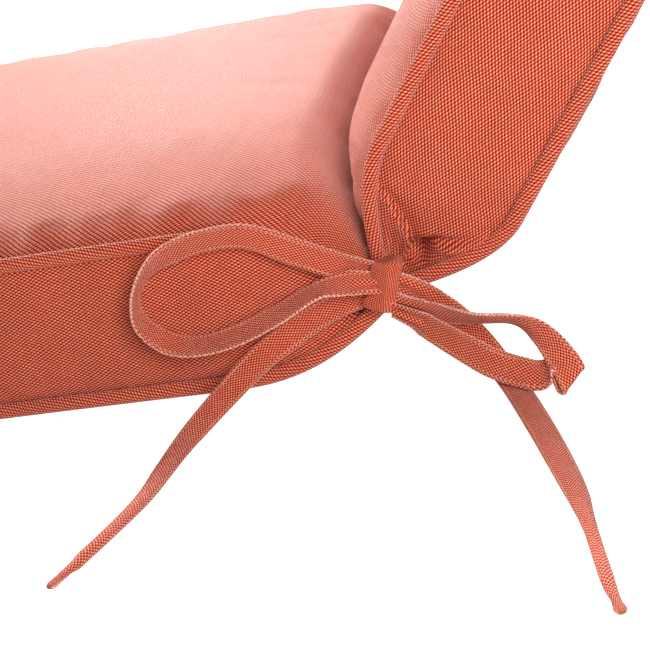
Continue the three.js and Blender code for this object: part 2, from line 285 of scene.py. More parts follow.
# the weave lies along the cloth: each panel from its centre line, the boxing round the outline
def layUv(piece, rows, columns, levels):
    points = pointsOf(piece.data)
    lookup = -np.ones((2 * rowCount + 1, 2 * columnCount + 1, levelCount + 1), int)
    lookup[rows + rowCount, columns + columnCount, levels] = np.arange(len(points))
    faces = cornersOf(piece.data).reshape(-1, 4)
    uv = np.zeros((len(faces), 4, 2))
    boxing = np.ones(len(faces), bool)
    for level in (levelCount, 0):
        ids = lookup[:, :, level]
        across, along = gridArc(points[ids], 1, columnCount), gridArc(points[ids], 0, rowCount)
        table = np.zeros((len(points), 2))
        table[ids.ravel()] = np.stack([across.ravel(), along.ravel()], axis=-1)
        panel = (levels[faces] == level).all(1)
        uv[panel] = table[faces[panel]]
        boxing &= ~panel
    lastRow, lastColumn = 2 * rowCount, 2 * columnCount
    ring = [(row, lastColumn) for row in range(rowCount, lastRow)]
    ring += [(lastRow, column) for column in range(lastColumn, 0, -1)]
    ring += [(row, 0) for row in range(lastRow, 0, -1)]
    ring += [(0, column) for column in range(lastColumn)]
    ring += [(row, lastColumn) for row in range(rowCount + 1)]
    ids = lookup[tuple(np.array(ring).T)]
    around = gridArc(points[ids], 0, 0)[:, levelCount // 2]
    height = gridArc(points[ids], 1, levelCount // 2)
    ringPlace = -np.ones(len(points), int)
    ringHeight = np.zeros(len(points))
    for step in range(len(ring) - 1):
        ringPlace[ids[step]] = step
        ringHeight[ids[step]] = height[step]
    places = ringPlace[faces[boxing]]
    wraps = (places.max(1) - places.min(1)) > len(ring) // 2
    u = around[places]
    u[wraps] = np.where(places[wraps] == 0, around[-1], u[wraps])
    uv[boxing] = np.stack([ringHeight[faces[boxing]], u], axis=-1)
    mesh = piece.data
    layer = mesh.uv_layers.active or mesh.uv_layers.new(name="UVMap")
    layer.name = "UVMap"
    layer.data.foreach_set("uv", uv.ravel())
    mesh.materials.append(None)
    mesh.materials.append(None)
    mesh.polygons.foreach_set("material_index", boxing.astype(int))


def makeCushion():
    piece = addObject(bpy.ops.mesh.primitive_cube_add, "cushion_cover", size=2)
    for axis, cuts in ((0, 1), (0, columnCount - 1), (1, 1), (1, rowCount - 1), (2, levelCount - 1)):
        subdivideAlong(piece, axis, cuts)
    block = pointsOf(piece.data)
    columns = np.rint(block[:, 0] * columnCount).astype(int)
    rows = np.rint(block[:, 1] * rowCount).astype(int)
    levels = np.rint((block[:, 2] + 1) / 2 * levelCount).astype(int)
    place(piece, cushionPoints(rows, columns, levels))
    layUv(piece, rows, columns, levels)
    return piece, rows, columns, levels


madeCushion = makeCushion()
cushion = madeCushion[0]
print("cushion shaped:", len(cushion.data.polygons), "faces")


puffSizes = {
    "pressure": 4, "spare": 0.025, "frames": 20, "quality": 5, "hingeRows": 3, "onGround": 0.8,
    "cap": 1.0, "rounds": 5, "keepSwell": 0.02,
}


# each point's average with its neighbours, several times over
def spreadOut(mesh, moves, rounds):
    first, second = edgeEnds(mesh).T
    count = len(mesh.vertices)
    share = np.bincount(first, minlength=count) + np.bincount(second, minlength=count) + 1.0
    for _ in range(rounds):
        total = moves.copy()
        for axis in range(3):
            total[:, axis] += np.bincount(first, moves[second, axis], count)
            total[:, axis] += np.bincount(second, moves[first, axis], count)
        moves = total / share[:, None]
    return moves


# the filling blows the cover up between its seams, and the spare cloth puckers
def puffCushion(piece, rows, columns, levels):
    k = puffSizes
    started = pointsOf(piece.data)
    rim = (np.abs(rows) == rowCount) | (np.abs(columns) == columnCount)
    held = rim & ((levels == 0) | (levels == levelCount))
    held |= (np.abs(rows) <= k["hingeRows"]) | (started[:, 2] < k["onGround"] * mm)
    pick(piece)
    piece.vertex_groups.new(name="held").add(np.flatnonzero(held).tolist(), 1.0, "REPLACE")
    cloth = piece.modifiers.new("puff", "CLOTH")
    cloth.settings.quality = k["quality"]
    cloth.settings.vertex_group_mass = "held"
    cloth.settings.use_pressure = True
    cloth.settings.uniform_pressure_force = k["pressure"]
    cloth.settings.shrink_min = -k["spare"]
    cloth.settings.effector_weights.gravity = 0
    cloth.collision_settings.use_collision = False
    cloth.point_cache.frame_start, cloth.point_cache.frame_end = 1, k["frames"]
    for moment in range(1, k["frames"] + 1):
        bpy.context.scene.frame_set(moment)
    bpy.ops.object.modifier_apply(modifier=cloth.name)
    bpy.context.scene.frame_set(1)
    piece.vertex_groups.clear()
    moves = (pointsOf(piece.data) - started) / mm
    print("puffed by up to", round(float(norm(moves, axis=1).max()), 1), "mm")
    moves -= (1 - k["keepSwell"]) * spreadOut(piece.data, moves, k["rounds"])
    moves[held] = 0
    size = norm(moves, axis=1, keepdims=True)
    moves *= np.tanh(size / k["cap"]) * k["cap"] / np.maximum(size, 1e-6)
    spots = started / mm + moves
    spots[:, 2] = np.maximum(spots[:, 2], 0)
    place(piece, spots)
    print("puckers kept: up to", round(float(norm(moves, axis=1).max()), 1), "mm")


# folds where the boxing is drawn in to the tie: distance from the hinge, then share of the boxing's height
# from the rear seam, and depths in millimetres
pleatSizes = {
    "flapEdge": [
        (0, 0.45), (16, 0.50), (24, 0.56), (29, 0.66), (33, 0.73), (39, 0.84), (43, 0.92), (48, 1.02),
    ],
    "flapRise": 5, "flapDrop": 8.5, "flapReach": 9, "flapEnd": 52, "flapFade": 12, "flapSharp": 0.7,
    "creases": [
        {"section": 1, "deep": 7.5, "wide": 2.3,
         "line": [(20, 0.40), (27, 0.37), (31, 0.33), (34, 0.22), (38, 0.15), (45, 0.11), (52, 0.08)]},
        {"section": 1, "line": [(14, 0.26), (20, 0.30), (23, 0.36)], "deep": 4, "wide": 2.0},
        {"section": -1, "line": [(10, 0.34), (22, 0.24), (34, 0.17), (50, 0.12), (64, 0.10)],
         "deep": 3.2, "wide": 2.4},
        {"section": -1, "line": [(10, 0.66), (22, 0.74), (36, 0.80), (52, 0.84)], "deep": 3, "wide": 2.6},
        {"section": -1, "line": [(12, 0.50), (26, 0.49), (42, 0.47)], "deep": 2.2, "wide": 2.4},
    ],
    "creasePast": 4, "creaseFade": 0.6, "lipHigh": 0.35, "lipAway": 2.4,      # a lip beside each crease
    "hollows": [(1, 19, 0.38, 11, 6), (-1, 17, 0.16, 8, 6)],      # section, place, depth and width
    "fold": {
        "section": 1, "middle": [(20, 0.16), (28, 0.17), (34, 0.10), (42, 0.05)], "high": 4.5, "wide": 4.6,
    },
    "gather": {"high": 0.7, "count": 7, "start": 1.3, "reach": 34},
    "wallDepth": 16, "end": 70, "leastSideways": 0.15, "seamFade": 2.5, "hingeFade": 6,
}


def lineDistance(distance, across, line, span):
    ends = np.array(line, float)
    nearest = np.full(len(distance), 1e9)
    for first, second in zip(ends[:-1], ends[1:]):
        p = np.stack([distance - first[0], (across - first[1]) * span], 1)
        q = np.stack([np.full(len(distance), second[0] - first[0]), (second[1] - first[1]) * span], 1)
        t = np.clip((p * q).sum(1) / (q * q).sum(1), 0, 1)
        nearest = np.minimum(nearest, norm(p - q * t[:, None], axis=1))
    return nearest


def pleatDepth(section, distance, across, span):
    k = pleatSizes
    depth = np.zeros(len(distance))
    if section["side"] > 0:
        edge = np.interp(distance, *np.array(k["flapEdge"]).T)
        beyond = (across - edge) * span
        step = 0.5 * np.tanh(beyond / k["flapSharp"])
        flap = k["flapRise"] * np.exp(-np.maximum(beyond, 0) / k["flapReach"]) * (0.5 + step)
        drop = k["flapDrop"] * np.exp(-np.maximum(-beyond, 0) / k["flapReach"]) * (0.5 - step)
        depth += (flap - drop) * smooth((k["flapEnd"] - distance) / k["flapFade"])
    for crease in k["creases"]:
        if crease["section"] == section["side"]:
            near = lineDistance(distance, across, crease["line"], span)
            last, wide = crease["line"][-1][0], crease["wide"]
            fade = smooth((last + k["creasePast"] - distance) / (k["creaseFade"] * last))
            depth -= crease["deep"] * fade * bell(near, wide)
            depth += k["lipHigh"] * crease["deep"] * fade * bell(near - k["lipAway"] * wide, wide)
    if k["fold"]["section"] == section["side"]:
        near = lineDistance(distance, across, k["fold"]["middle"], span)
        depth += k["fold"]["high"] * bell(near, k["fold"]["wide"])
    for side, alongSpot, acrossSpot, deep, wide in k["hollows"]:
        if side == section["side"]:
            away = np.hypot(distance - alongSpot, (across - acrossSpot) * span)
            depth -= deep * bell(away, wide)
    g = k["gather"]
    depth += g["high"] * np.sin(across * 2 * np.pi * g["count"] + g["start"]) * bell(distance, g["reach"])
    return depth


# the finished cushion's side walls are pushed in and out along the folds
def pleatBoxing():
    k, turn = pleatSizes, cushionSizes["foldAngle"]
    mesh = cushion.data
    points = pointsOf(mesh) / mm
    sideways = np.abs(numbersOf(mesh.vertices, "normal", 3)[:, 0])
    y, z = points[:, 1] - hingeY, points[:, 2] - cushionSizes["hingeHeight"]
    alongBack = y * math.cos(turn) + z * math.sin(turn)
    outOfBack = -y * math.sin(turn) + z * math.cos(turn)
    for section, distance, height in ((seat, -y, z), (back, alongBack, outOfBack)):
        onSeat = y * math.cos(turn / 2) + z * math.sin(turn / 2) < 0
        away = np.maximum(distance, 0)
        up, down = seamHeight(section["front"], away), seamHeight(section["rear"], away)
        span = up + down
        across = (height + down) / span
        wall = np.abs(points[:, 0]) > halfWidth(away) - k["wallDepth"]
        chosen = wall & (onSeat == (section["side"] < 0)) & (distance > 0.5) & (distance < k["end"])
        chosen &= (across > -0.02) & (across < 1.02) & (sideways > k["leastSideways"])
        depth = pleatDepth(section, distance[chosen], across[chosen], span[chosen])
        rim = np.minimum(across[chosen], 1 - across[chosen]) * span[chosen]
        depth *= smooth(rim / k["seamFade"]) * smooth(distance[chosen] / k["hingeFade"])
        points[chosen, 0] += np.sign(points[chosen, 0]) * depth
    place(cushion, points)


def finishMesh(piece):
    pick(piece)
    subdivision = piece.modifiers.new("finer", "SUBSURF")
    subdivision.levels = subdivision.render_levels = 1
    subdivision.uv_smooth = "PRESERVE_BOUNDARIES"
    bpy.ops.object.modifier_apply(modifier=subdivision.name)
    bpy.ops.object.shade_smooth()


def turnOutwards(piece, weldGap=0.0):
    pick(piece)
    bpy.ops.object.mode_set(mode="EDIT")
    bpy.ops.mesh.select_all(action="SELECT")
    if weldGap:
        bpy.ops.mesh.remove_doubles(threshold=weldGap)
    bpy.ops.mesh.normals_make_consistent(inside=False)
    bpy.ops.object.mode_set(mode="OBJECT")
    bpy.ops.object.shade_smooth()


# a closed strip of cloth, with its spots and uv as tables by row and column
def layStrip(name, spots, uv):
    along, across = spots.shape[0] - 1, spots.shape[1] - 1
    maker = bpy.ops.mesh.primitive_grid_add
    piece = addObject(maker, name, x_subdivisions=across, y_subdivisions=along, size=2)
    block = pointsOf(piece.data)
    columns = np.rint((block[:, 0] + 1) / 2 * across).astype(int)
    rows = np.rint((block[:, 1] + 1) / 2 * along).astype(int)
    place(piece, spots[rows, columns])
    corners = cornersOf(piece.data)
    piece.data.uv_layers.active.data.foreach_set("uv", uv[rows[corners], columns[corners]].ravel())
    turnOutwards(piece, weldGap=2e-6)
    return piece


def lengthAlong(spots):
    return np.concatenate([[0], np.cumsum(norm(np.diff(spots, axis=0), axis=1))])


pipingSizes = {
    "halfOut": 2.8, "halfUp": 4.5, "out": 2.6, "up": 2, "sides": 20, "girth": 23.5,
    "spacing": 3.0, "cornerSteps": 12, "endSpacing": 4.0, "endInset": 260, "offGround": 0.1,
}


def pipingPath(section, face):
    k = pipingSizes
    length, radius = cushionSizes["rowDistances"][-1], cushionSizes["cornerRadius"]
    side = 1 if face is section["front"] else -1
    corner = np.linspace(0, 1, k["cornerSteps"] + 1)
    rows = [(distance, 0.0) for distance in np.arange(face["weltStart"], length - radius, k["spacing"])]
    rows += [(length - radius + radius * r, 0.0) for r in corner]
    rows += [(length, radius * r) for r in corner[1:]]
    rows += [(length, inset) for inset in np.arange(radius + k["endSpacing"], k["endInset"], k["endSpacing"])]
    distance, inset = np.array([row[0] for row in rows]), np.array([row[1] for row in rows])
    x, y, inset, outX, outY = planPoints(distance, inset)
    height = side * seamHeight(face, distance)
    y, height, outY = (np.concatenate([a, a[::-1]]) for a in (y, height, outY))
    x, outX = (np.concatenate([a, -a[::-1]]) for a in (x, outX))
    centre = folded(section, x + outX * k["out"], y + outY * k["out"], height + side * k["up"])
    seam = folded(section, x, y, height + side * k["up"])
    return centre, seam


def makePiping(name, section, face):
    k = pipingSizes
    centres, seams = pipingPath(section, face)
    tangents = unit(np.gradient(centres, axis=0))
    inward = seams - centres
    inward = unit(inward - tangents * (inward * tangents).sum(1, keepdims=True))
    upward = np.cross(tangents, inward)
    angle = np.linspace(0, 2 * np.pi, k["sides"] + 1)
    spots = np.zeros((len(centres) + 2, k["sides"] + 1, 3))
    spots[1:-1] = centres[:, None] + k["halfOut"] * np.cos(angle)[:, None] * inward[:, None]
    spots[1:-1] += k["halfUp"] * np.sin(angle)[:, None] * upward[:, None]
    spots[0], spots[-1] = centres[0], centres[-1]
    spots[:, :, 2] = np.maximum(spots[:, :, 2], k["offGround"])
    run = np.pad(lengthAlong(centres), 1, "edge")
    around = angle / (2 * np.pi) * k["girth"]
    uv = np.stack(np.broadcast_arrays(around[None, :] * mm, run[:, None] * mm), axis=-1)
    return layStrip(name, spots, uv)


pipingRuns = {
    "piping_seat_top": (seat, seat["front"], "welt_seat_top"),
    "piping_seat_bottom": (seat, seat["rear"], "welt_seat_bottom"),
    "piping_back_front": (back, back["front"], "welt_back_front"),
    "piping_back_rear": (back, back["rear"], "welt_back_rear"),
}
pipings = {name: makePiping(name, section, face) for name, (section, face, _) in pipingRuns.items()}
print("piping laid:", len(pipings), "runs")

# each row of a tape: out from the side, along to the back, up from the ground, the way that the width lies,
# then its width and thickness, unless they are those of the plain tape
strands = {
    "loop_front": [
        [0, -1, 57, 0.1, 0.2, 1, 11, 1.6], [2, -13, 61, 0.1, 0.4, 0.9, 14, 1.4],
        [5, -27, 67, 0, 0.5, 0.9], [10, -48, 80, 0, 0.5, 0.85],
        [13, -71, 93, 0.2, 0.45, 0.86], [14, -94, 94.5, 0.4, 0.1, 0.91],
        [14, -115, 90, 0.5, 0, 0.88], [14, -130, 81, 0.85, 0, 0.53],
        [14, -140, 66, 0.95, 0, 0.3], [14, -139, 52, 0.95, -0.3, -0.1],
        [14, -128, 40, 0.87, -0.2, -0.48], [15, -112, 35.5, 0.9, 0.05, -0.44],
        [16, -90, 38.5, 0.8, 0.45, -0.4], [16, -65, 46.5, 0.78, 0.57, -0.27],
        [14.5, -40, 57, 0.9, 0.35, -0.25], [13, -26, 58.5, 0.75, 0.15, -0.6, 15, 1.4],
        [10, -13, 56.5, 0.5, 0.1, -0.85, 13, 1.5], [6, -1, 53, 0.3, 0, -0.95, 11, 1.6],
    ],
    "loop_rear": [
        [5, -2, 44, 0.3, 0.3, 0.9, 11, 1.6], [9, 6, 41, 0.5, 0.4, 0.8, 12, 1.5],
        [14, 17, 38, 0.6, 0.4, 0.7, 14, 1.4], [20, 28, 36, 0.6, 0.4, 0.7],
        [33, 48, 36, 0.85, 0.1, 0.55, 15.5, 1.4], [45, 65, 37, 0.85, 0.1, 0.55, 15.5, 1.4],
        [55, 78, 33, 0.55, 0.65, 0.55, 15, 1.4], [62, 85.5, 26, 0.3, 0.85, 0.42],
        [66.5, 90, 18.5, 0.1, 0.93, 0.37], [60.5, 77.5, 10.8, -0.4, 0.32, 0.86],
        [56, 67, 12, -0.35, 0.25, 0.9], [48, 52.5, 15.8, -0.3, 0.3, 0.88],
        [38, 39, 21.5, -0.05, 0.55, 0.8, 15.5, 1.4], [25, 23, 28.5, 0.1, 0.6, 0.75, 14, 1.4],
        [16, 12.5, 33.5, 0.3, 0.6, 0.7, 12, 1.5], [8, -1, 39, 0.4, 0.5, 0.7, 10, 1.6],
    ],
    "tail_front": [
        [0, -1, 47.5, 0.1, -0.1, 1, 11, 1.6], [-0.5, -15, 46.5, 0, -0.2, 1, 14, 1.4],
        [0.5, -28, 44.5, 0, -0.3, 0.95], [3, -42, 40, 0, -0.4, 0.9],
        [6, -59, 32, -0.1, -0.6, 0.8], [15, -77, 23.5, -0.1, -0.75, 0.65, 15.5, 1.4],
        [36, -94, 14, 0.1, -0.9, 0.4, 14.5, 1.5], [68, -110, 5.5, 0.3, -0.93, 0.2, 12.5, 1.8],
        [98, -117, 3, 0.3, -0.95, 0.1, 10.5, 2.2], [130, -122, 2.2, 0.2, -0.97, 0, 8, 2.8],
        [161, -128.5, 2.3, 0.2, -0.97, 0, 6, 3.4], [189, -136, 2.5, 0.25, -0.97, 0, 5, 3.8],
        [218, -147, 2.3, 0.3, -0.95, 0, 5.5, 3.6],
    ],
    "tail_rear": [
        [5, -1, 55, 0.1, 0.3, 0.95, 11, 1.6], [6, 8.5, 50, 0.1, 0.5, 0.85, 13, 1.4],
        [7, 18, 42.5, 0, 0.6, 0.8, 15.5, 1.4], [8, 27, 34.5, 0, 0.65, 0.75],
        [10, 35, 27, 0, 0.7, 0.7, 15, 1.4], [15, 41.5, 20.5, -0.1, 0.8, 0.6, 14, 1.4],
        [24, 49, 12.5, -0.2, 0.9, 0.4, 14, 1.4], [45, 60, 3, -0.3, 0.95, 0.05, 14, 1.4],
        [77, 69.5, 1.6, -0.3, 0.95, 0, 14, 1.5], [116, 79.5, 1.6, -0.25, 0.96, 0, 13.5, 1.6],
        [152, 88, 1.8, -0.2, 0.97, 0, 12, 2], [185, 95.5, 2, -0.2, 0.97, 0, 8.5, 2.6],
        [216, 100.5, 2.3, -0.15, 0.98, 0, 5.5, 3.4], [250, 105.5, 2.4, -0.15, 0.98, 0, 4, 3.8],
        [272, 109, 2.3, -0.2, 0.97, 0, 4.5, 3.4], [293, 113.5, 2.1, -0.2, 0.97, 0, 6, 3],
    ],
}
tapeSizes = {
    "plain": [16, 1.4], "width": 16, "thick": 1.3, "across": 24, "spacing": 1.2, "fineSteps": 40,
    "offGround": 0.2, "endOut": 0.5,
    "hem": 2.4, "hemThick": 0.35, "hemFade": 1.2, "groove": 0.3, "grooveWide": 0.6,
    "edgeRound": 0.8, "edgeLeast": 0.15,
    "knotReach": 12, "knotFade": 22, "pleats": 2, "pleatStart": 0.9, "rollDepth": 1.5, "leastDepth": 0.6,
    "tip": 30, "cap": 3.2, "capRound": 3.6, "tipRound": 1.02,
}
tieSpot = np.array([cushionSizes["width"] / 2, hingeY, 0])


# a smooth curve through the rows of a table, read at each q
def splineTable(rows, q):
    rows = np.array(rows, float)
    last = len(rows) - 1
    i = np.minimum(np.floor(q).astype(int), last - 1)
    a, b, c, d = (rows[np.clip(i + k, 0, last)] for k in (-1, 0, 1, 2))
    t = (q - i)[:, None]
    return b + 0.5 * t * (c - a + t * (2 * a - 5 * b + 4 * c - d + t * (3 * b - a - 3 * c + d)))


def evenSteps(rows, spacing):
    q = np.linspace(0, len(rows) - 1, tapeSizes["fineSteps"] * (len(rows) - 1) + 1)
    run = lengthAlong(splineTable(rows, q)[:, :3])
    count = round(run[-1] / spacing)
    return np.interp(np.linspace(0, run[-1], count + 1), run, q), run[-1]


loopFold = {
    "tape": "loop_rear", "after": 8, "spot": (71, 94, 10.2), "line": (-0.2, 0.75, 0.63),
    "before": (0.28, 0.33, -0.90), "leaving": (-0.48, -0.87, 0.05), "radius": 2.2, "flat": 7, "blend": 7,
    "runs": (-7, -3.5, -1, 1, 3.5, 7),
}


# the tape is folded over along a line that lies aslant across it
def foldFrame():
    k = loopFold
    before, leaving = unit(np.array(k["before"])), unit(np.array(k["leaving"]))
    change = unit(before - leaving)
    line = np.array(k["line"])
    line = unit(line - change * (line @ change))
    along = before @ line
    first, last = unit(before - along * line), unit(leaving - along * line)
    turn = math.acos(np.clip(first @ last, -1, 1))
    return line, along, math.sqrt(1 - along ** 2), first, np.cross(first, line), turn


# a place on the flat tape, from the middle of the fold, and how far it stands off the tape's middle
def foldedOver(run, across, off):
    line, along, steep, first, outward, turn = foldFrame()
    radius = loopFold["radius"]
    reach = run * steep - across * along
    half = radius * turn / 2
    bent = np.clip(reach, -half, half)
    angle = (bent / radius + turn / 2)[:, None]
    out = np.cos(angle) * outward + np.sin(angle) * first
    way = np.cos(angle) * first - np.sin(angle) * outward
    middle = math.cos(turn / 2) * outward + math.sin(turn / 2) * first
    spot = np.array(loopFold["spot"]) + radius * (out - middle) + (reach - bent)[:, None] * way
    return spot + (run * along + across * steep)[:, None] * line + off[:, None] * out


def foldRows():
    rows = []
    for run in loopFold["runs"]:
        spot, edge = foldedOver(np.array([run, run]), np.array([0, 0.5]), np.zeros(2))
        rows.append([*spot, *unit(edge - spot)])
    return rows


strands[loopFold["tape"]][loopFold["after"]:loopFold["after"]] = foldRows()


# how far pleats swing, in radians, to draw a width in to this share
def gatherSwing(share):
    swings = np.linspace(0, 2.2, 111)
    t = np.linspace(0, 2 * np.pi, 65)
    shares = np.array([np.cos(swing * np.sin(t)).mean() for swing in swings])
    return float(np.interp(-share, -shares, swings))


# the angle of an arc whose width is this share of its length
def rollAngle(share):
    angles = np.linspace(0.02, 6.6, 330)
    shares = np.where(angles < np.pi, np.sin(angles / 2) / (angles / 2), 2 / angles)
    return float(np.interp(-share, -shares, angles))


# the middle line across the tape: its own width is kept, and it is gathered or rolled to the width given
def tapeProfile(wide, thick, gather):
    k = tapeSizes
    s = np.linspace(-0.5, 0.5, k["across"] + 1)
    share = min(wide / k["width"], 1)
    heading = np.zeros(len(s))
    if share < 0.999:
        heading += gather * gatherSwing(share) * np.sin(2 * np.pi * k["pleats"] * s + k["pleatStart"])
        heading -= (1 - gather) * rollAngle(share) * s
    middle = (heading[1:] + heading[:-1]) / 2
    steps = np.stack([np.cos(middle), np.sin(middle)], 1)
    line = np.concatenate([[[0, 0]], np.cumsum(steps, axis=0)]) * (k["width"] / k["across"])
    line -= (line.max(0) + line.min(0)) / 2
    depth = line[:, 1].max() - line[:, 1].min()
    most = max(thick * k["rollDepth"] - k["thick"], k["leastDepth"])
    if gather < 0.5 and depth > most:
        line[:, 1] *= most / depth
    return line, s * k["width"]


# half the thickness across the tape: folded hems, with a groove along each row of stitches
def tapeThickness(s):
    k = tapeSizes
    fromEdge = k["width"] / 2 - np.abs(s)
    hem = k["hemThick"] * (1 - smooth((fromEdge - k["hem"]) / k["hemFade"]))
    groove = k["groove"] * bell(fromEdge - k["hem"], k["grooveWide"])
    rounding = np.sqrt(np.clip(1 - (1 - np.clip(fromEdge / k["edgeRound"], 0, 1)) ** 2, 0, 1))
    return (k["thick"] / 2 + hem - groove) * (k["edgeLeast"] + (1 - k["edgeLeast"]) * rounding)


def makeStrand(name, key, mirror):
    k = tapeSizes
    rows = [(row + k["plain"])[:8] for row in strands[key]]
    q, length = evenSteps(rows, k["spacing"])
    values = splineTable(rows, q)
    centres = values[:, :3] + tieSpot
    tangents, run = unit(np.gradient(centres, axis=0)), lengthAlong(centres)
    across = unit(values[:, 3:6] - tangents * (values[:, 3:6] * tangents).sum(1, keepdims=True))
    faceWay = np.cross(tangents, across)
    isTail = key.startswith("tail")
    if isTail and faceWay[len(centres) * 3 // 4, 2] < 0:      # a tail lies on the ground with its face up
        across, faceWay = -across, -faceWay
    foldSpot = np.array(loopFold["spot"]) + tieSpot
    foldRun = run[np.argmin(norm(centres - foldSpot, axis=1))]
    count = k["across"]
    sides = 2 * count + 2
    spots, uv = (np.zeros((len(centres) + 2, sides + 1, size)) for size in (3, 2))
    for i in range(len(centres)):
        nearKnot = 1 - smooth((run[i] - k["knotReach"]) / k["knotFade"])
        if not isTail:
            nearKnot = max(nearKnot, 1 - smooth((length - run[i] - k["knotReach"]) / k["knotFade"]))
        line, s = tapeProfile(values[i, 6], values[i, 7], nearKnot)
        slope = unit(np.gradient(line, axis=0))
        normal = np.stack([-slope[:, 1], slope[:, 0]], 1)
        half = tapeThickness(s)[:, None]
        if isTail:
            tip = smooth((run[i] - length + k["tip"]) / k["tip"])
            pastCap = run[i] - length + k["cap"]
            cap = math.sqrt(max(1 - (pastCap / k["capRound"]) ** 2, 0)) if pastCap > 0 else 1
            club = 2 * s[:, None] / k["width"]
            flat = np.concatenate([club * values[i, 6] / 2, 0 * club], 1)
            line = (line * (1 - tip) + flat * tip) * [cap, 1]
            normal = normal * (1 - tip) + np.array([0, 1.0]) * tip
            half = half * (1 - tip) + values[i, 7] / 2 * np.sqrt(k["tipRound"] - club ** 2) * tip * cap
        upper, lower = line + normal * half, line - normal * half
        ring = np.concatenate([upper, lower[::-1], upper[:1]])
        laid = centres[i] + ring[:, :1] * across[i] + ring[:, 1:] * faceWay[i]
        if key == loopFold["tape"]:
            fromFold = run[i] - foldRun
            share = 1 - smooth((abs(fromFold) - loopFold["flat"]) / loopFold["blend"])
            bent = foldedOver(np.full(len(ring), fromFold), ring[:, 0], ring[:, 1]) + tieSpot
            laid = laid * (1 - share) + bent * share
        laid[:, 2] += max(k["offGround"] - laid[:, 2].min(), 0)
        spots[i + 1] = laid
        uv[i + 1] = np.stack([np.concatenate([s, s[::-1], s[:1]]), np.full(sides + 1, run[i])], 1)
    for end, inner, outward in ((0, 1, -k["endOut"]), (-1, -2, k["endOut"])):
        upper, lower = spots[inner, : count + 1], spots[inner, count + 1: sides][::-1]
        middle = (upper + lower) / 2 + tangents[end] * outward
        spots[end, : count + 1] = middle
        spots[end, count + 1: sides] = middle[::-1]
        spots[end, -1] = spots[end, 0]
        uv[end] = uv[inner]
    if mirror:
        spots[:, :, 0] *= -1
    return layStrip(name, spots, uv * mm), length


tapes = {}
for key in strands:
    for side in ("right", "left"):
        name = key + "_" + side
        tapes[name] = makeStrand("tape_" + name, key, side == "left")
print("ties laid:", {name: round(length) for name, (piece, length) in tapes.items()})

knotSizes = {
    "out": 3.5, "along": -2.8, "up": 52.3, "halfOut": 10, "halfAlong": 9.4, "halfUp": 13.7, "lean": 3.2,
    "squareness": 5.5, "waist": 0.86, "flare": 0.12, "flareLean": 2.6, "cut": 3.2, "turnRadius": 11,
    "ridge": 0.55, "ridgeAt": 0.14, "ridgeRound": 0.015, "ridgeLow": 0.12,
    "dent": 0.1, "dentAt": 0.1, "dentReach": 0.5, "segments": 64, "rings": 40,
    "grooves": [(-0.52, 0.35, 0.14), (-0.12, 0.3, 0.05), (0.55, 0.35, -0.08)], "grooveWide": 0.06,
}


def makeKnot(name, mirror):
    k = knotSizes
    maker = bpy.ops.mesh.primitive_uv_sphere_add
    piece = addObject(maker, name, segments=k["segments"], ring_count=k["rings"], radius=1)
    ball = pointsOf(piece.data)
    size = (np.abs(ball) ** k["squareness"]).sum(1, keepdims=True) ** (1 / k["squareness"])
    form = ball / size
    turn = np.arctan2(form[:, 1], form[:, 0])
    level, across = form[:, 2], form[:, 1]
    below = smooth(-level)
    width = k["waist"] + (1 - k["waist"]) * smooth(np.abs(level)) + k["flare"] * below
    ridge = k["ridge"] * (np.sqrt((across - k["ridgeAt"]) ** 2 + k["ridgeRound"]) - k["ridgeLow"])
    out = k["halfOut"] * (1 - ridge - k["dent"] * bell(level - k["dentAt"], k["dentReach"]))
    for groove, deep, slant in k["grooves"]:
        out = out - deep * bell(across - groove - slant * level, k["grooveWide"])
    x = cushionSizes["width"] / 2 + k["out"] + form[:, 0] * out
    y = hingeY + k["along"] + k["lean"] * level - k["flareLean"] * below + across * width * k["halfAlong"]
    z = k["up"] + level * k["halfUp"] - k["cut"] * across * below
    if mirror:
        x = -x
    place(piece, np.stack([x, y, z], 1))
    corners = cornersOf(piece.data)
    uv = np.stack([turn[corners] * k["turnRadius"] * mm, z[corners] * mm], 1)
    piece.data.uv_layers.active.data.foreach_set("uv", uv.ravel())
    turnOutwards(piece)
    return piece


knots = {side: makeKnot("wrap_knot_" + side, side == "left") for side in ("right", "left")}
puffCushion(*madeCushion)
finishMesh(cushion)
pleatBoxing()
print("cushion finished:", len(cushion.data.polygons), "faces")

# the palest thread colour is a painted highlight on the raised thread crowns
clothColours = {
    # painted shade: the darkest colour darkens the weave's hollows
    "sunkShade": (0.22, 0.0, 0.0, 1), "thread": (0.70, 0.082, 0.027, 1), "crownHighlight": (1.0, 0.36, 0.23, 1),
    # painted highlight: the frayed colour is pale loose fibres, as if they catch the light
    "stitch": (0.9, 0.34, 0.21, 1), "frayedFibreHighlight": (0.95, 0.62, 0.52, 1),
}
weaveSizes = {
    "wander": 0.0012, "wanderScale": 60, "mottleScale": 25, "slub": 0.35, "fleckShare": 0.6,
    "weftOffset": 0.37, "narrow": 0.9, "broad": 0.5, "warpHigh": 0.72, "warpGain": 1.5, "weftGain": 1.1,
}
clothSizes = {
    "fleck": 0.7, "fleckLeast": 0.65, "mottle": 0.24, "mottleLeast": 0.88, "sunkRough": 0.25, "rough": 0.5,
}
tapeStitches = {
    "from": 5.9 * mm, "wide": 0.8 * mm, "long": 2.6 * mm, "dashGain": 2.0, "dashLeast": 0.9, "high": 1.2,
    # the fuzz is pale frayed fibres along the tape's edges, a painted highlight as if they catch the light
    "edge": 8 * mm, "fuzzHighlightWide": 0.7 * mm, "fuzzHighlightScale": 900, "fuzzHighlightGain": 5.0, "fuzzHighlightLeast": -1.9,
}


def feed(tree, socket, value):
    if isinstance(value, (int, float, tuple)):
        socket.default_value = value
    else:
        tree.links.new(value, socket)


def addNode(tree, kind, inputs=None, **values):
    made = tree.nodes.new(kind)
    for name, value in values.items():
        setattr(made, name, value)
    for key, value in (inputs or {}).items():
        feed(tree, made.inputs[key], value)
    return made


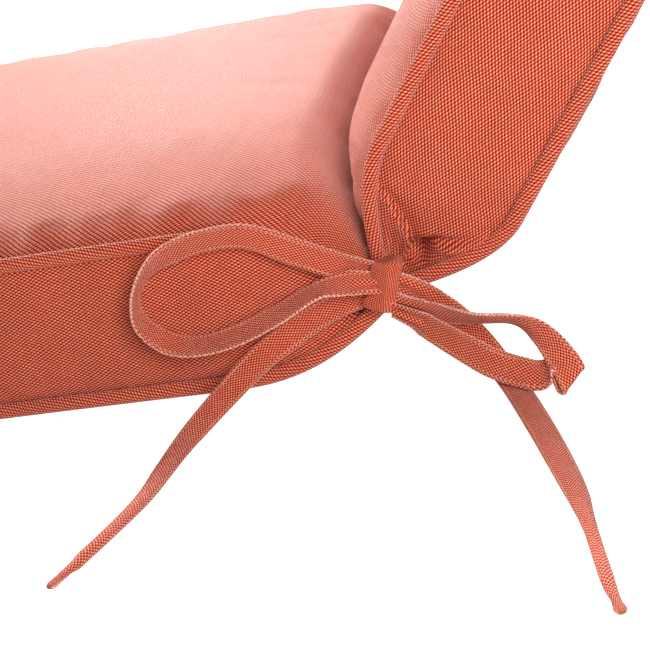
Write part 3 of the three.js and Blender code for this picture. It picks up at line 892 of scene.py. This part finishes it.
def calcIn(tree):
    def calc(operation, *values, clamp=False):
        inputs = dict(enumerate(values))
        return addNode(tree, "ShaderNodeMath", inputs, operation=operation, use_clamp=clamp).outputs[0]
    return calc


def vectorCalc(tree, operation, inputs):
    return addNode(tree, "ShaderNodeVectorMath", inputs, operation=operation).outputs[0]


def mixColour(tree, share, first, second):
    return addNode(tree, "ShaderNodeMix", {0: share, 6: first, 7: second}, data_type="RGBA").outputs[2]


def mixValue(tree, share, first, second):
    return addNode(tree, "ShaderNodeMix", {0: share, 2: first, 3: second}, data_type="FLOAT").outputs[0]


# a plain weave, with Cloth a place on the cloth in metres
def weaveGroup():
    k = weaveSizes
    tree = bpy.data.node_groups.new("plainWeave", "ShaderNodeTree")
    calc = calcIn(tree)
    for name in ("Cloth", "Threads per metre"):
        tree.interface.new_socket(name, in_out="INPUT", socket_type="NodeSocketVector")
    for name in ("Height", "SunkShade", "Fleck", "Mottle", "RaisedHighlight"):
        tree.interface.new_socket(name, in_out="OUTPUT", socket_type="NodeSocketFloat")
    start = addNode(tree, "NodeGroupInput")
    end = addNode(tree, "NodeGroupOutput")
    cloth, perMetre = start.outputs[0], start.outputs[1]
    wander = addNode(tree, "ShaderNodeTexNoise", {"Vector": cloth, "Scale": k["wanderScale"], "Detail": 2})
    offset = vectorCalc(tree, "SUBTRACT", {0: wander.outputs["Color"], 1: (0.5, 0.5, 0.5)})
    small = vectorCalc(tree, "SCALE", {0: offset, "Scale": k["wander"]})
    moved = vectorCalc(tree, "ADD", {0: cloth, 1: small})
    parts = addNode(tree, "ShaderNodeSeparateXYZ", {0: vectorCalc(tree, "MULTIPLY", {0: moved, 1: perMetre})})
    u, v = parts.outputs[0], parts.outputs[1]
    cellU, cellV = calc("FLOOR", u), calc("FLOOR", v)
    over = calc("PINGPONG", calc("ADD", cellU, cellV), 1.0)
    waveU, waveV = (calc("SINE", calc("MULTIPLY", calc("FRACT", way), math.pi)) for way in (u, v))
    warpUp = calc("MULTIPLY", calc("POWER", waveU, k["narrow"]), calc("POWER", waveV, k["broad"]))
    weftUp = calc("MULTIPLY", calc("POWER", waveU, k["broad"]), calc("POWER", waveV, k["narrow"]))
    dome = mixValue(tree, over, calc("MULTIPLY", warpUp, k["warpHigh"]), weftUp)
    cell = addNode(tree, "ShaderNodeCombineXYZ", {0: cellU, 1: cellV})
    fleck = addNode(tree, "ShaderNodeTexWhiteNoise", {"Vector": cell.outputs[0]}, noise_dimensions="2D")
    warpThread = addNode(tree, "ShaderNodeTexWhiteNoise", {"W": cellU}, noise_dimensions="1D")
    otherPlace = calc("ADD", cellV, k["weftOffset"])
    weftThread = addNode(tree, "ShaderNodeTexWhiteNoise", {"W": otherPlace}, noise_dimensions="1D")
    thread = mixValue(tree, over, warpThread.outputs["Value"], weftThread.outputs["Value"])
    uneven = calc("MULTIPLY", calc("SUBTRACT", thread, 0.5), k["slub"])
    height = calc("ADD", dome, calc("MULTIPLY", uneven, dome))
    # painted shade: the lower-lying threads are darkened at the middle of each crossing
    warpSeen = calc("MULTIPLY", warpUp, k["warpGain"], clamp=True)
    sunkShade = calc("MULTIPLY", calc("SUBTRACT", 1.0, over), warpSeen)
    # painted highlight: the threads that lie on top are lightened at their crowns
    raisedHighlight = calc("MULTIPLY", over, calc("MULTIPLY", weftUp, k["weftGain"], clamp=True))
    flecked = mixValue(tree, k["fleckShare"], thread, fleck.outputs["Value"])
    mottle = addNode(tree, "ShaderNodeTexNoise", {"Vector": cloth, "Scale": k["mottleScale"], "Detail": 3})
    for i, value in enumerate((height, sunkShade, flecked, mottle.outputs["Fac"], raisedHighlight)):
        feed(tree, end.inputs[i], value)
    return tree


weave = weaveGroup()


# spacing is from thread to thread in millimetres, bump is in metres, and depth scales the weave's painted
# highlight and painted shade
def clothMaterial(name, spacing=(0.97, 1.70), bias=0.0, bump=0.0006, sheen=0.5, depth=1.0, stitches=None):
    k = clothSizes
    material = bpy.data.materials.new(name)
    material.use_nodes = True
    tree = material.node_tree
    tree.nodes.clear()
    calc = calcIn(tree)
    output = addNode(tree, "ShaderNodeOutputMaterial")
    shader = addNode(tree, "ShaderNodeBsdfPrincipled")
    tree.links.new(shader.outputs[0], output.inputs[0])
    lay = addNode(tree, "ShaderNodeUVMap", uv_map="UVMap").outputs[0]
    turned = addNode(tree, "ShaderNodeMapping", {"Vector": lay, "Rotation": (0, 0, bias)}).outputs[0]
    threads = {"Cloth": turned, "Threads per metre": (1000 / spacing[0], 1000 / spacing[1], 0)}
    cloth = addNode(tree, "ShaderNodeGroup", threads, node_tree=weave).outputs
    # painted highlight on the raised thread crowns, varied at random from thread to thread
    lit = calc("MULTIPLY", cloth["RaisedHighlight"], depth)
    fleck = calc("MULTIPLY_ADD", cloth["Fleck"], k["fleck"], k["fleckLeast"])
    flecked = calc("MULTIPLY", lit, fleck, clamp=True)
    colour = mixColour(tree, flecked, clothColours["thread"], clothColours["crownHighlight"])
    # painted shade in the weave's hollows
    colour = mixColour(tree, calc("MULTIPLY", cloth["SunkShade"], depth), colour, clothColours["sunkShade"])
    shade = calc("MULTIPLY_ADD", cloth["Mottle"], k["mottle"], k["mottleLeast"])
    colour = addNode(tree, "ShaderNodeHueSaturation", {"Color": colour, "Value": shade}).outputs[0]
    height = cloth["Height"]
    if stitches:
        parts = addNode(tree, "ShaderNodeSeparateXYZ", {0: lay})
        fromMiddle = calc("ABSOLUTE", parts.outputs[0])
        line = calc("ABSOLUTE", calc("SUBTRACT", fromMiddle, stitches["from"]))
        near = calc("SUBTRACT", 1.0, calc("DIVIDE", line, stitches["wide"], clamp=True), clamp=True)
        dash = calc("SINE", calc("MULTIPLY", parts.outputs[1], 2 * math.pi / stitches["long"]))
        dash = calc("MULTIPLY_ADD", dash, stitches["dashGain"], stitches["dashLeast"], clamp=True)
        stitch = calc("MULTIPLY", near, dash)
        colour = mixColour(tree, stitch, colour, clothColours["stitch"])
        height = calc("ADD", height, calc("MULTIPLY", stitch, stitches["high"]))
        # painted highlight: pale frayed fibres along both outer edges of the tape, all the way round
        fuzz = addNode(tree, "ShaderNodeTexNoise", {"Vector": lay, "Scale": stitches["fuzzHighlightScale"]})
        outerEdge = 1 - stitches["edge"] / stitches["fuzzHighlightWide"]
        rim = calc("MULTIPLY_ADD", fromMiddle, 1 / stitches["fuzzHighlightWide"], outerEdge, clamp=True)
        fibreHighlight = calc("MULTIPLY_ADD", fuzz.outputs["Fac"], stitches["fuzzHighlightGain"], stitches["fuzzHighlightLeast"], clamp=True)
        colour = mixColour(tree, calc("MULTIPLY", rim, fibreHighlight), colour, clothColours["frayedFibreHighlight"])
    bumped = addNode(tree, "ShaderNodeBump", {"Strength": 1.0, "Distance": bump, "Height": height})
    feed(tree, shader.inputs["Base Color"], colour)
    feed(tree, shader.inputs["Normal"], bumped.outputs[0])
    feed(tree, shader.inputs["Roughness"], calc("MULTIPLY_ADD", cloth["SunkShade"], k["sunkRough"], k["rough"]))
    shader.inputs["IOR"].default_value = 1.5
    shader.inputs["Specular Tint"].default_value = (1.0, 0.4, 0.3, 1)
    shader.inputs["Sheen Weight"].default_value = sheen
    shader.inputs["Sheen Roughness"].default_value = 0.22
    shader.inputs["Sheen Tint"].default_value = (1.0, 0.86, 0.82, 1)
    return material


coverCloth = clothMaterial("coverCloth")
boxingCloth = clothMaterial("boxingCloth", sheen=0.12)
pipingCloth = clothMaterial("pipingCloth", bias=math.radians(45), sheen=0.35)
tapeCloth = clothMaterial("tapeCloth", spacing=(0.88, 1.25), bump=0.0005, sheen=0.25, stitches=tapeStitches)
knotCloth = clothMaterial(
    "knotCloth", spacing=(0.8, 1.05), bias=math.radians(24), bump=0.0005, sheen=0.15, depth=0.85)


def dress(piece, material, node, second=None):
    if second:
        piece.data.materials[0], piece.data.materials[1] = material, second
    else:
        piece.data.materials.clear()
        piece.data.materials.append(material)
    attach(piece, "root")
    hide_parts(node)


dress(cushion, coverCloth, "cushion", boxingCloth)
for name, piece in pipings.items():
    dress(piece, pipingCloth, pipingRuns[name][2])
for side, piece in knots.items():
    dress(piece, knotCloth, "knot_" + side)
for name, (piece, length) in tapes.items():
    dress(piece, tapeCloth, name)
print("pieces dressed:", 1 + len(pipings) + len(knots) + len(tapes))


# glow is how brightly the white ground lights the cushion, a light has its place, target, size and power
studio = {
    "floorSize": 14, "floorDrop": 0.0004, "floorShades": (0.5, 0.53), "grainScale": 3, "floorRough": 0.9,
    "glow": 0.275, "air": 0.275,
    "lights": {
        "key": ((-1.85, -0.55, 1.7), (0.1, 0, 0.1), 0.35, 62),
        "sweep": ((-2.5, -0.6, 0.85), (0.1, 0, 0.1), 1.2, 43),
        "top": ((-0.9, -1.9, 1.12), (0.1, 0.1, 0.1), 0.8, 70),
        "fill": ((1.0, 0.42, 0.37), (0.26, 0.22, 0.2), 0.4, 7),
    },
}


def grey(value):
    return value, value, value, 1


def addStage():
    spot = (0, 0, -studio["floorDrop"])
    floor = addObject(bpy.ops.mesh.primitive_plane_add, "floor", size=studio["floorSize"], location=spot)
    pale = bpy.data.materials.new("paleFloor")
    pale.use_nodes = True
    tree = pale.node_tree
    shader = tree.nodes["Principled BSDF"]
    grain = addNode(tree, "ShaderNodeTexNoise", {"Scale": studio["grainScale"]})
    dark, light = studio["floorShades"]
    feed(tree, shader.inputs["Base Color"], mixColour(tree, grain.outputs["Fac"], grey(dark), grey(light)))
    shader.inputs["Roughness"].default_value = studio["floorRough"]
    seen = addNode(tree, "ShaderNodeLightPath")
    glow = mixColour(tree, seen.outputs["Is Camera Ray"], grey(studio["glow"]), grey(1))
    feed(tree, shader.inputs["Emission Color"], glow)
    shader.inputs["Emission Strength"].default_value = 1.0
    floor.data.materials.append(pale)


def addLight(name, spot, target, size, power):
    way = (Vector(target) - Vector(spot)).to_track_quat("-Z", "Y").to_euler()
    light = addObject(bpy.ops.object.light_add, name, type="AREA", location=spot, rotation=way)
    light.data.shape = "DISK"
    light.data.size = size
    light.data.energy = power
    light.visible_camera = False


addStage()
for name, values in studio["lights"].items():
    addLight(name, *values)


# the air lights the cushion softly, and is plain white behind it
def addAir():
    world = bpy.data.worlds.new("studio")
    bpy.context.scene.world = world
    world.use_nodes = True
    tree = world.node_tree
    air = tree.nodes["Background"]
    air.inputs["Color"].default_value = grey(1)
    air.inputs["Strength"].default_value = studio["air"]
    backdrop = addNode(tree, "ShaderNodeBackground", {"Color": grey(1)})
    seen = addNode(tree, "ShaderNodeLightPath")
    layers = {0: seen.outputs["Is Camera Ray"], 1: air.outputs[0], 2: backdrop.outputs[0]}
    either = addNode(tree, "ShaderNodeMixShader", layers)
    feed(tree, tree.nodes["World Output"].inputs["Surface"], either.outputs[0])


addAir()
print("stage and lights set")
bpy.context.scene.view_settings.view_transform = "Standard"
bpy.context.scene.view_settings.look = "None"
